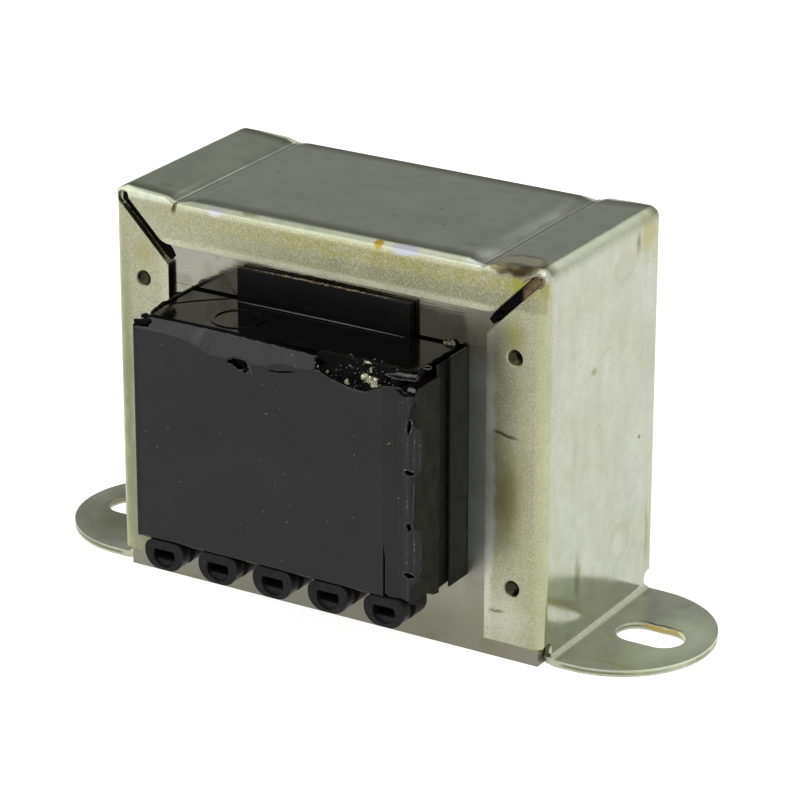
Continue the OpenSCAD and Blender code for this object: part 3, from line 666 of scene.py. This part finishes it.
# A curl of the torn sheet rolls over the varnish at the right. A burst bubble left a ring of film behind it.
def roll_rule(along, about):
    x = 15.2 + 4.3 * along
    radius = 0.1 + 0.46 * min(1, along * 2.5) * (1 - 0.25 * along) + 0.06 * ripple(x * 0.8, about * 2, 1)
    angle = math.radians(35 + 285 * about)
    z = 39.35 + 0.35 * along + 0.08 * ripple(x * 1.5, 1, 1)
    return (x + 0.2 * about, -25.35 - radius * math.cos(angle), z - 0.9 * radius * math.sin(angle))


def ring_rule(along, about):
    turn, angle = 2 * math.pi * along, 2 * math.pi * about
    far = 0.5 + 0.11 * math.cos(angle)
    return (19.2 + far * math.cos(turn), -22.3 + far * math.sin(turn), 39.95 + 0.11 * math.sin(angle))


roll = face_out(bent(44, 22, roll_rule), (17.5, -25.2, 39.3))
seat(roll, "torn_roll", bare_paper_and_highlight_grey, smooth=60, sheet=0.12)
seat(joined(bent(36, 10, ring_rule)), "film_ring", varnish, smooth=80)


# The varnish in the two front corner slots, a strip down beside the core, its black partly painted shade of
# the slots
slot_bed = -13.92


def slot_rule(side):
    def rule(along, across):
        run = (10.0 if side < 0 else 9.25) * along
        half = 0.6 * (1 - 0.35 * max(0, along - 0.9) * 10)
        lie = (across - 0.45) * 2 * half
        x = 29.7 - (run + lie) / math.sqrt(2)
        z = 50.4 - (run - lie) / math.sqrt(2)
        sunk = 0.08 * ripple(run * 0.7, lie * 1.2, side) + 0.05 * ripple(run * 2.4, lie * 3, side)
        return (side * x, slot_bed + sunk, z)
    return rule


# Varnish that ran into the slots: black below, partly as painted shade, and brown and half clear at the right
# one's upper end.
slot_fill, tree, surface, place = finish("slot_varnish_film", {"IOR": 1.1})
slot_x = add(tree, "ShaderNodeSeparateXYZ", {"Vector": place}).outputs["X"]
brown = mask(tree, (slot_x, 27.2, 27.7), grain(place, 1.5, bottom=0.5))
paint(
    surface, coats(tree, "#040303", (brown, "#6A5A44")),
    rough=grain(place, 1.2, bottom=0.08, top=0.3), relief=grain(place, 0.5), depth=0.025)
for name, side in (("left", -1), ("right", 1)):
    filled = face_out(bent(56, 8, slot_rule(side)))
    seat(filled, f"slot_varnish_{name}", slot_fill, smooth=60, sheet=0.1)

# A thick lip of the same varnish stands round the right slot's upper end, brown where it is thin
amber, tree, surface, place = finish("thin_amber_varnish", {"IOR": 1.55})
paint(
    surface, coats(tree, "#3A2C16", (grain(place, 0.7), "#6E6648")),
    rough=grain(place, 0.6, bottom=0.05, top=0.2), relief=grain(place, 0.5), depth=0.02)
lip = bead(((27.6, -14.6, 49.75), (28.2, -14.62, 50.3), (28.9, -14.6, 50.85), (29.6, -14.5, 51.1),
            (30.3, -14.45, 50.8), (30.5, -14.5, 50.1), (30.1, -14.6, 49.5)), 0.22, 50,
           steps=60, top=(0, -1, 0.2))
seat(joined(lip), "slot_lip", amber, smooth=60)


# Resin crumbs
# Crumbs of set resin stuck in the tear where it broke, with a lump by the core and a rough bead on the tab.
# Brittle polyester resin: from white through straw yellow to brown, half clear, with bright broken faces.
resin, tree, surface, place = finish("broken_polyester_resin", {"IOR": 1.55})
paint(
    surface, coats(
        tree, "#4E4A34",
        (grain(place, 0.9, detail=3.0, low=0.4, high=0.6), "#706D52"),
        (grain(place, 0.4, low=0.56, high=0.62), "#A6A590"),
        (grain(place, 0.6, low=0.58, high=0.64), "#1E180C")),
    rough=grain(place, 0.4, bottom=0.1, top=0.5), relief=grain(place, 0.3), depth=0.02)
crumbs = bmesh.new()
for seed, (centre, radii, jag) in enumerate((
        ((12.5, -25.4, 38.45), (0.8, 0.4, 0.4), 0.3), ((13.6, -25.5, 38.25), (1.1, 0.4, 0.6), 0.3),
        ((13.9, -25.6, 37.75), (0.8, 0.3, 0.35), 0.3), ((14.7, -25.4, 38), (0.4, 0.3, 0.35), 0.3),
        ((13.1, -25, 39.35), (0.22, 0.2, 0.45), 0.4), ((12.3, -24.5, 40), (0.5, 0.15, 0.15), 0.5),
        ((10.3, -25.75, 37.45), (0.55, 0.22, 0.35), 0.6), ((7.4, -25.7, 38.2), (0.25, 0.18, 0.2), 0.5),
        ((6.2, -25.9, 38.7), (0.12, 0.1, 0.2), 0.5), ((16.4, -26.25, 31.1), (0.12, 0.05, 0.07), 0.5),
        ((16.8, -26.2, 31.25), (0.1, 0.05, 0.1), 0.5), ((16.1, -26.28, 30.9), (0.06, 0.05, 0.06), 0.5),
        ((-3.5, -26.25, 36.9), (0.06, 0.05, 0.16), 0.5), ((-3, -26.3, 36.1), (0.07, 0.05, 0.06), 0.5)), 1):
    lump(crumbs, centre, radii, jag, seed, steps=1)
seat(joined(crumbs), "resin_crumbs", resin, smooth=5)

# A drop at the seam's upper end: the same resin, its light grey a painted highlight, and wet-looking.
highlight_grey_resin, tree, surface, place = finish("resin_drop_painted_highlight", {"IOR": 1.33})
paint(
    surface, coats(tree, "#46484A", (grain(place, 0.6), "#242526")),
    rough=grain(place, 0.5, bottom=0.15, top=0.35), relief=grain(place, 0.5), depth=0.03)
drop = bmesh.new()
lump(drop, (19.15, -25.75, 38.25), (0.6, 0.3, 0.36), 0.12, 9)
seat(joined(drop), "painted_highlight_drop", highlight_grey_resin, smooth=60)

# Where it ran thin over the tab and into the corner it is browned, with a few pale bits in it.
brown_resin, tree, surface, place = finish("browned_polyester_resin", {"IOR": 1.5})
paint(
    surface, coats(
        tree, "#1C150B",
        (grain(place, 0.9, low=0.5, high=0.6), "#4E3C20"),
        (grain(place, 0.35, detail=1.0, low=0.62, high=0.68), "#6E6848")),
    rough=grain(place, 0.4, bottom=0.1, top=0.4), relief=grain(place, 0.3), depth=0.05)
corner_lump = bmesh.new()
lump(corner_lump, (17.7, -14.1, 40), (0.65, 0.35, 0.4), 0.35, 11)
lump(corner_lump, (16.9, -14, 39.9), (0.5, 0.3, 0.25), 0.35, 12)
tab_bead = bead(((-10.4, -14.5, 44.25), (-4, -14.45, 44.3), (2, -14.5, 44.3), (9.6, -14.45, 44.25)),
                0.24, 5, sides=10, steps=160, uneven=1.3)
seat(joined(corner_lump, tab_bead), "resin_beads", brown_resin, smooth=50)


# Terminals
# Four tags of tinned brass are pressed into the rear sockets. The windings' leads are soldered to them.
# Brass strip, tin plated and blanked: dull silver with a yellow edge.
tinned_brass, tree, surface, place = finish("blanked_tinned_brass", {"Metallic": 1.0})
paint(
    surface, coats(tree, "#B9B7AE", (grain(place, 1.2), "#A39C82")),
    rough=grain(place, 0.6, bottom=0.25, top=0.4), relief=grain(place, 0.3), depth=0.006)
for end in ("primary", "secondary"):
    for number in (1, 2):
        dress(f"{end}_tag_{number}", tinned_brass)

# Enamelled copper leads: bright red-brown, darker where the enamel is thick.
lead, tree, surface, place = finish("enamelled_copper_lead", {"Metallic": 1.0, "Coat Weight": 0.6})
feed(tree, surface, {
    "Base Color": coats(tree, "#B0622C", (grain(place, 1.5), "#7A3A18")),
    "Roughness": grain(place, 0.8, bottom=0.2, top=0.35)})
for end, slot in (("primary", "primary_wire"), ("secondary", "secondary_wire")):
    for number in (1, 2):
        dress(f"{end}_lead_{number}", lead)

# Tin-lead solder, hand fed: bright grey with a frosted skin.
solder, tree, surface, place = finish("frosted_solder", {"Metallic": 1.0})
paint(
    surface, coats(tree, "#B4B6B8", (grain(place, 0.5), "#8E9092")),
    rough=grain(place, 0.35, bottom=0.18, top=0.4), relief=grain(place, 0.4), depth=0.02)
dress("solder_joints", solder)


# Clamping frame
# The frame is one blank of 0.9 mm steel, folded down over the core, with flanges in front and behind, two
# slotted feet, and dimples punched in the flanges to grip the stack. It was plated, passivated and dipped.
# Zinc plate with yellow passivation: a soft grey-green mirror, straw yellow by the folds, stained by varnish,
# with painted shade and highlights in its dimples, crease and edges.
zinc, tree, surface, place = finish("yellow_passivated_zinc", {"Metallic": 1.0})
wall_x, face_y, top_z, crease_x = 31, 14.65, 51.7, 22
here_x = add(tree, "ShaderNodeSeparateXYZ", {"Vector": place}).outputs["X"]
apart = add(tree, "ShaderNodeVectorMath", {0: place}, operation="ABSOLUTE")
apart_x, apart_y, apart_z = add(tree, "ShaderNodeSeparateXYZ", {"Vector": apart}).outputs
from_wall, from_face, from_top, to_crease = [
    add(tree, "ShaderNodeMath", {0: edge * mm, 1: off}, operation="SUBTRACT")
    for edge, off in ((wall_x, apart_x), (face_y, apart_y), (top_z, apart_z), (crease_x, apart_x))]


def mark(centre, radii, soft, top, drift=1.6):
    """A mask for a stain or a painted shade: an oval on the frame, uneven by its drift, fading out over its
    soft outer part.
    """
    stirred = add(tree, "ShaderNodeVectorMath", {
        0: wander, 1: (drift * mm,) * 3, 2: place}, operation="MULTIPLY_ADD")
    there = add(tree, "ShaderNodeMapping", {
        "Vector": stirred, "Location": Vector(centre) * mm, "Scale": Vector(radii) * mm},
        vector_type="TEXTURE")
    far = add(tree, "ShaderNodeVectorMath", {0: there}, operation="LENGTH").outputs["Value"]
    return add(tree, "ShaderNodeMapRange", {
        "Value": far, "From Min": 1, "From Max": 1 - soft, "To Max": top})


stir = add(tree, "ShaderNodeTexNoise", {"Vector": place, "Scale": 1 / (2.5 * mm), "Detail": 3.0})
wander = add(tree, "ShaderNodeVectorMath", {
    0: stir.outputs["Color"], 1: (0.5, 0.5, 0.5)}, operation="SUBTRACT")
on_flange = mask(tree, (from_face, 1, 0.4), (from_wall, 0.2, 1.2), (from_top, 0.6, 1.4))
folded = mask(tree, (from_top, 2.2, 1.3), add(tree, "ShaderNodeMath", {
    0: mask(tree, (from_face, 1.3, 0.9)),
    1: mask(tree, (from_wall, 1.4, 0.9))}, operation="MAXIMUM"), top=2.0)
on_foot = mask(tree, (from_top, 50.2, 50.6))
on_web = mask(tree, (from_top, 1.2, 0.6))
frost = mask(tree, grain(place, 0.22, detail=1.0), (from_top, 0.45, 0.75))
streaks = grain(place, 2.2, stretch=(1, 1, 0.22), detail=4.0, low=0.4, high=0.75, top=0.35)
yellow_top = mask(
    tree, (from_top, 1.2, 1.9), (from_top, 3.9, 3.1), (from_face, 1.2, 0.6), (here_x, -27, -2),
    grain(place, 1, detail=3.0, low=0.2, high=0.5), top=0.95)
pale_top = mask(tree, (from_top, 5.4, 5.8), (from_face, 0.8, 0.4), (apart_x, 24.5, 23), top=0.5)
low_top = mask(
    tree, (from_top, 2.8, 3.8), (from_top, 5.7, 5.2), (from_face, 0.8, 0.4), (here_x, -22, 0), top=0.9)
on_crease = mask(tree, on_web, (apart_y, 14.2, 13.6))
# Painted shade and highlight on the web's crease: a dark line along its bottom and light lines along its
# shoulders
crease_painted_shade = mask(tree, on_crease, (to_crease, 0.2, 0.05), (to_crease, -0.2, -0.05), top=0.8)
crease_painted_highlight = mask(tree, on_crease, add(tree, "ShaderNodeMath", {
    0: mask(tree, (to_crease, 0.5, 0.35), (to_crease, 0.2, 0.3)),
    1: mask(tree, (to_crease, -0.2, -0.3), (to_crease, -0.5, -0.4))}, operation="MAXIMUM"), top=1.5)
brushed = mask(
    tree, on_web, (to_crease, 3.2, 1), (to_crease, 0.2, 0.5), (here_x, 0, 1),
    grain(place, 1.5, stretch=(1, 0.2, 1), bottom=0.3))
# The flanges' inner cut edges, blackened: partly black varnish, partly painted shade of the gap beside the
# core
cut_edges_black_varnish_and_shade = mask(tree, (apart_x, 23.05, 22.95), (from_face, 0.1, 0.2), (from_top, 5.6, 5.8))
# Painted shade: a dark olive band on the web just behind its front fold
web_edge_painted_shade = mask(tree, on_web, (from_face, 3.4, 1.7), (from_face, 0.9, 1.5), top=0.75)
side_fold = mask(tree, (from_wall, 2.3, 0.6), (from_face, 1.9, 1.3), (from_top, 1, 3), top=0.4)
foot_rim = mask(tree, (from_top, 51, 51.15), (from_top, 51.5, 51.35), (from_wall, -1.2, -2), top=0.8)
# Each stain or painted shadow: its middle and its half sizes in millimetres, its colour, how strong it is and
# how soft its rim
front_stains = [((x, -face_y, z), (wide, 2, high), *look) for x, z, wide, high, *look in (
    (26, 21.5, 2.4, 9, "#6E6A3C", 0.75, 0.7), (25.6, 30, 2.4, 0.35, "#2E2C1C", 0.8, 0.6),
    (26.7, 42.8, 2.2, 2.8, "#86823C", 0.6, 0.7), (27.9, 22, 0.6, 20, "#96925E", 0.5, 0.95),
    (25.8, 5.5, 4, 5, "#CBCCC0", 0.3, 0.8), (23.5, 24, 0.9, 22, "#CDCDC9", 0.6, 0.6),
    (24.8, 6.7, 1.4, 0.3, "#4C4A30", 0.7, 0.6), (-29.3, 24, 1.3, 26, "#74765C", 0.85, 0.8),
    (-26.2, 8, 4.5, 13, "#62644E", 0.8, 0.8), (-26.6, 43.5, 2, 2.6, "#8A8450", 0.5, 0.8))]
wall_stain_and_shadow_marks = [((wall_x, y, z), (1, wide, high), *look) for y, z, wide, high, *look in (
    (4.7, 46.4, 3.3, 2.2, "#8C8A74", 0.45, 0.3), (4.85, 46.55, 2.9, 1.9, "#AAA898", 0.6, 0.4),
    # Painted shadow: the dark mark at y 8.2, z 48.5, below the yellow stain at the upper rear corner, is the
    # notch's shadow
    (8.2, 48.5, 0.8, 2.2, "#6A6440", 0.8, 0.8), (5, 10.1, 2.8, 2.8, "#92927A", 0.45, 0.15),
    (4.5, 9.7, 2.4, 2.4, "#B0B3A3", 0.75, 0.6), (-2.6, 35.3, 0.7, 0.7, "#7E7E42", 0.8, 0.6),
    (0.6, 36.9, 1.7, 0.5, "#9A9A70", 0.5, 0.6), (-5.8, 9.5, 1, 3.6, "#6B6D48", 0.7, 0.7),
    (12.2, 8.8, 0.8, 5.8, "#7C7A4C", 0.6, 0.7), (9.75, 22.6, 0.35, 0.4, "#5A5A3A", 0.8, 0.5),
    (-3.6, 42.2, 0.8, 3, "#A9A895", 0.5, 0.6))]
corner_stain_and_shade_marks = (
    # Painted shade: the first mark is a dark line where the left crease runs over the front fold
    ((-22, -14.5, 50.4), (0.35, 1, 1.2), "#4E4A22", 0.9, 0.5),
    ((25.8, -12.7, 51.5), (4.3, 3.1, 1.4), "#5E5430", 0.8, 0.15),
    ((25.9, -12.2, 51.5), (3.9, 2.2, 1.4), "#C8C49C", 0.85, 0.3),
    ((26.9, -13.9, 51), (3.9, 1.5, 1.2), "#2A2110", 0.95, 0.6),
    ((27.4, -14.6, 49.4), (2.2, 1.2, 1.3), "#85863A", 0.9, 0.7),
    ((31, 11, 49), (1.8, 3, 3.2), "#989460", 0.85, 0.7))
foot_and_top_stain_and_shade_marks = (
    ((31.6, -13.2, 2), (1.2, 1.2, 1.6), "#A48A2C", 0.85, 0.6),
    ((39.5, -9.6, 0.9), (5, 0.9, 0.6), "#8E8C48", 0.6, 0.8),
    # Painted shade: the whole left foot is darkened
    ((-38, 0, 0.9), (9, 14, 1.2), "#6E715C", 0.85, 0.5),
    ((42.5, 0, 0.9), (6.5, 13, 0.9), "#C8D2B2", 0.9, 0.7),
    ((38.3, 2.85, 0.45), (6, 0.4, 0.5), "#A08C48", 0.8, 0.5),
    ((38.3, 3.05, 0.95), (4, 0.25, 0.3), "#3A3416", 0.8, 0.5),
    ((7.6, -14.2, 51), (0.8, 1, 1.3), "#8F7A28", 0.95, 0.4),
    ((9.4, -13.4, 51.3), (1.9, 0.35, 0.5), "#7A6A24", 0.9, 0.5),
    ((11.4, -14.4, 50.8), (2.3, 1.2, 0.75), "#9C9CA6", 0.9, 0.35),
    ((-15.9, -14.3, 50.8), (1.3, 1, 0.8), "#A4A3A8", 0.9, 0.35),
    ((-11.5, -13.9, 51.2), (2.1, 1, 0.35), "#77754A", 0.7, 0.4),
    ((-25.7, -10.6, 51.5), (1.5, 0.8, 0.6), "#8C8A64", 0.5, 0.6),
    ((18, -9.4, 51.3), (1.2, 0.7, 0.6), "#7E7E66", 0.5, 0.6))
specks = [((x, y, 51.3), (size, size, 0.5), code, 0.7, 0.5) for x, y, size, code in (
    (-16.7, 1.4, 0.35, "#4E5044"), (-12.8, 0.9, 0.3, "#4E5044"), (7.9, -0.3, 0.3, "#53554A"),
    (11.1, -5, 0.3, "#53554A"), (4.4, -4.9, 0.3, "#53554A"))]
stain_and_shade_masks = [(mark(middle, radii, soft, strength), code) for middle, radii, code, strength, soft in (
    *front_stains, *corner_stain_and_shade_marks, *wall_stain_and_shadow_marks, *foot_and_top_stain_and_shade_marks, *specks)]
# Painted shade: the hollows of the punched dimples are darkened
dimple_painted_shade = [(mark((side * 26.7, -14.2, z), (1.25, 1.2, 1.25), 0.25, 0.95, drift=0.2), "#1F1E10")
        for side in (-1, 1) for z in (10.1, 40.1)]
dulled = on_flange
for part in (folded, on_foot, brushed, crease_painted_highlight):
    dulled = add(tree, "ShaderNodeMath", {0: dulled, 1: part}, operation="MAXIMUM")
paint(
    surface, coats(
        tree, "#B2B5A6",
        (grain(place, 8), "#A8AC9A"),
        (on_flange, "#939378"),
        (on_web, "#AEB4A0"),
        (low_top, "#707250"),
        (side_fold, "#A19E58"),
        (yellow_top, "#85803C"),
        (pale_top, "#C0C2AE"),
        (streaks, "#8E9478"),
        (mask(tree, frost, grain(place, 1.8, bottom=0.25, top=0.6)), "#8C8D78"),
        (mask(tree, on_flange, grain(place, 0.2, detail=1.0, low=0.45, high=0.75), top=0.4), "#C3C4B2"),
        (mask(tree, on_flange, grain(place, 0.25, detail=1.0, low=0.55, high=0.8), top=0.45), "#66664E"),
        (brushed, "#C2CCC8"),
        (crease_painted_shade, "#5A5C4A"),
        (crease_painted_highlight, "#CED4CA"),
        (web_edge_painted_shade, "#55553A"),
        (foot_rim, "#5C5C40"),
        *stain_and_shade_masks, *dimple_painted_shade,
        (cut_edges_black_varnish_and_shade, "#1A1A14")),
    rough=add(tree, "ShaderNodeMath", {
        0: dulled, 1: 0.17, 2: grain(place, 6, bottom=0.13, top=0.2)}, operation="MULTIPLY_ADD"),
    relief=add(tree, "ShaderNodeMath", {
        0: frost, 1: 0.1, 2: grain(place, 5, low=0.0, high=1.0)}, operation="MULTIPLY_ADD"), depth=0.015)


def past(spot, ball, side):
    """Whether a point lies in the rear upper corner on that side, past the middle of its round."""
    away = spot - ball
    return min(away.x * side, away.y, away.z) > -0.01 * mm


# The rear upper corners are rounded in all three ways, where the web's fold meets the walls' folds
shape = copy_of("clamp_frame")
fold_r, cuts = 1.5, 4
for side in (-1, 1):
    ball = Vector((side * (wall_x - fold_r), face_y - fold_r, top_z - fold_r)) * mm
    for way in ((side, 0, 0), (0, 1, 0), (0, 0, 1)):
        bmesh.ops.bisect_plane(
            shape, geom=shape.verts[:] + shape.edges[:] + shape.faces[:], dist=0.001 * mm,
            plane_co=ball, plane_no=way)
    inside = [e for e in shape.edges if all(past(v.co, ball, side) for v in e.verts)]
    bmesh.ops.subdivide_edges(shape, edges=inside, cuts=cuts, use_grid_fill=True)
    for vertex in shape.verts:
        away = vertex.co - ball
        if past(vertex.co, ball, side) and away.length > (fold_r + 0.01) * mm:
            vertex.co = ball + away.normalized() * fold_r * mm
soften(shape, 0.12, least=50)
seat(shape, "frame_sheet", zinc, ["clamp_frame"], smooth=40)


# Studio
# A pale table top that glows a little, one broad soft light overhead, a small one in front at the right for
# the highlights, and a light grey room that is darker behind the object at the left.
floor_shape = bmesh.new()
bmesh.ops.create_grid(floor_shape, x_segments=1, y_segments=1, size=3.0)
pale, tree, surface, place = finish("matt_white_table", {
    "Roughness": 0.8, "Specular IOR Level": 0.2,
    "Emission Color": colour("#FFFFFF"), "Emission Strength": 0.93})
feed(tree, surface, {"Base Color": coats(tree, "#8A8A8A", (grain(place, 40), "#868686"))})
floor = put(floor_shape, "table_top", pale)

for name, spot, size, watts in (
        ("soft_box", (0, 0, 0.8), 1.34, 7.5),
        ("small_light", (0.30, -0.50, 0.80), 0.16, 1.6)):
    light = bpy.data.lights.new(name, "AREA")
    light.shape = "SQUARE"
    light.size = size
    light.energy = watts
    lamp = bpy.data.objects.new(name, light)
    lamp.location = spot
    lamp.rotation_euler = Vector(spot).to_track_quat("Z", "Y").to_euler()
    scene.collection.objects.link(lamp)

room = bpy.data.worlds.new("grey_room")
room.use_nodes = True
scene.world = room
tree = room.node_tree
toward = add(tree, "ShaderNodeTexCoord").outputs["Generated"]
near_dark, near_light = [
    add(tree, "ShaderNodeVectorMath", {0: toward, 1: side}, operation="DOT_PRODUCT").outputs["Value"]
    for side in ((-0.5, 0.8, -0.3), (-0.48, -0.72, 0.5))]
glow = add(tree, "ShaderNodeMapRange", {
    "Value": near_dark, "From Min": 0.35, "From Max": 0.6, "To Min": 1.15, "To Max": 0.33})
brighter = add(tree, "ShaderNodeMapRange", {
    "Value": near_light, "From Min": 0.82, "From Max": 0.99, "To Max": 1.35},
    interpolation_type="SMOOTHSTEP")
feed(tree, tree.nodes["Background"], {
    "Color": colour("#FFFFFF"),
    "Strength": add(tree, "ShaderNodeMath", {0: glow, 1: brighter}, operation="ADD")})

scene.view_settings.view_transform = "Standard"
azimuth, elevation, roll = math.radians(31.14), math.radians(21.75), math.radians(0.11)
flat = math.cos(elevation)
back = Vector((math.sin(azimuth) * flat, -math.cos(azimuth) * flat, math.sin(elevation)))
level = Vector((0, 0, 1)).cross(back).normalized()
upright = back.cross(level)
across = math.cos(roll) * level + math.sin(roll) * upright
upward = -math.sin(roll) * level + math.cos(roll) * upright
stand = Matrix((across, upward, back)).transposed().to_4x4()
stand.translation = Vector((0.23856, -0.39153, 0.20720))
camera = bpy.data.objects.new("camera", bpy.data.cameras.new("camera"))
camera.data.lens = 175.8
camera.data.sensor_width = 36.0
camera.matrix_world = stand
scene.collection.objects.link(camera)
scene.camera = camera
